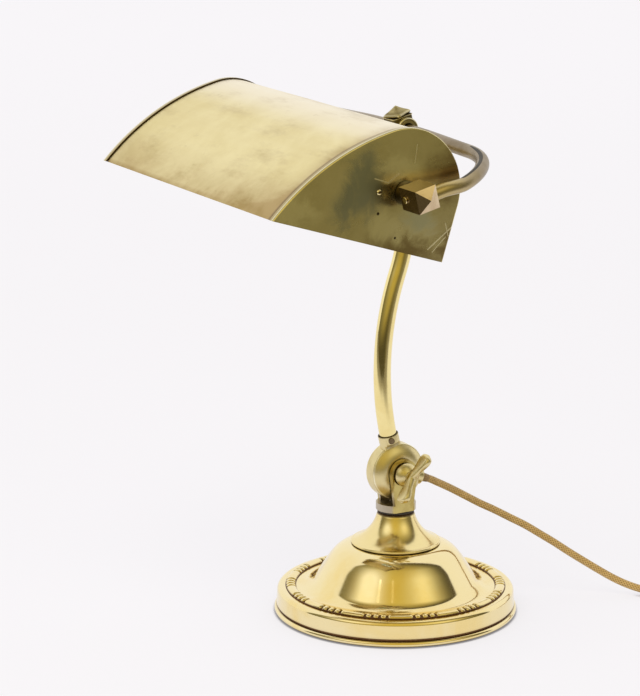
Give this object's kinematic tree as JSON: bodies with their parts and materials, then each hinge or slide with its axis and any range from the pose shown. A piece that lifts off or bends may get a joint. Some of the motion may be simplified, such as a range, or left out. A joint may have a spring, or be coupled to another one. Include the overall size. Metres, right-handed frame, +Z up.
{
  "type": "bankers lamp",
  "caption": "Brass desk lamp: a half-round metal shade pivots in a yoke on a curved arm, which tilts on a wing-nut knuckle above a round weighted base.",
  "frame": {"origin": "centre of the base's felt underside, where the lamp meets the desk", "axes": "+Z up, +X along the shade towards the end that faces the camera, -Y towards the lamp's front"},
  "size_m": [0.3192, 0.5244, 0.3828],
  "materials": {
    "polished_brass": "polished",
    "patina_brass": "aged satin",
    "bronze": "aged satin bronze",
    "steel": "plain",
    "iron": "as cast",
    "felt": "felt",
    "fibre": "matt",
    "flex": "matt",
    "cord": "braided",
    "porcelain": "glazed",
    "bulb_glass": "frosted",
    "plug_black": "moulded"
  },
  "bodies": {
    "base": {"base_shell": "polished_brass", "base_border": "polished_brass", "base_weight": "iron", "base_felt": "felt", "trumpet_cap": "polished_brass", "neck_washer": "fibre", "tie_rod": "steel", "tie_washer": "steel", "tie_nut": "steel", "fork": "polished_brass", "hinge_bolt": "polished_brass", "wing_washer": "patina_brass", "cord": "cord", "cord_coil": "cord", "cord_tail": "cord", "cord_tie": "fibre", "plug_base": "plug_black", "plug_cover": "plug_black", "plug_pins": "polished_brass"},
    "wing": {"wing_nut": "polished_brass"},
    "arm": {"knuckle_body": "polished_brass", "knuckle_cover": "polished_brass", "friction_washers": "fibre", "cord_bush": "fibre", "collar_screw": "steel", "arm_tube": "polished_brass", "arm_flex": "flex", "arm_spigot": "patina_brass", "swivel_washer": "fibre", "pyramid_nut": "patina_brass"},
    "yoke": {"centre_block": "bronze", "yoke_tube_near": "bronze", "yoke_tube_far": "bronze", "yoke_flex": "flex", "end_block_near": "bronze", "end_block_far": "bronze", "block_screws": "polished_brass", "pivot_nipple_near": "steel", "pivot_nipple_far": "steel", "pivot_bosses": "patina_brass", "pivot_locknut": "steel", "holder_cap": "polished_brass", "holder_barrel": "polished_brass", "holder_ring": "patina_brass", "holder_insulator": "porcelain", "holder_plungers": "polished_brass", "bulb_cap": "polished_brass", "bulb_glass": "bulb_glass"},
    "shade": {"shade_sheet": "polished_brass", "end_cap_near": "patina_brass", "end_cap_far": "patina_brass", "cap_rivets": "polished_brass"},
    "switch": {"switch_bar": "fibre"}
  },
  "joints": [
    {"name": "wing_turn", "type": "hinge", "parent": "base", "child": "wing", "pos_m": [0, 0, 0.1058], "axis": [1, 0, 0], "continuous": true},
    {"name": "arm_tilt", "type": "hinge", "parent": "base", "child": "arm", "pos_m": [0, 0, 0.1058], "axis": [1, 0, 0], "range_deg": [-18, 45], "deforming": ["cord"]},
    {"name": "yoke_swivel", "type": "hinge", "parent": "arm", "child": "yoke", "pos_m": [0, 0.00167, 0.35755], "axis": [0, -0.2419, 0.9703], "range_deg": [-60, 60]},
    {"name": "shade_tilt", "type": "hinge", "parent": "yoke", "child": "shade", "pos_m": [0, -0.07062, 0.33952], "axis": [1, 0, 0], "range_deg": [-60, 60]},
    {"name": "switch_push", "type": "slide", "parent": "yoke", "child": "switch", "axis": [0, 0.9703, 0.2419], "range_m": [0, 0.006]}
  ]
}
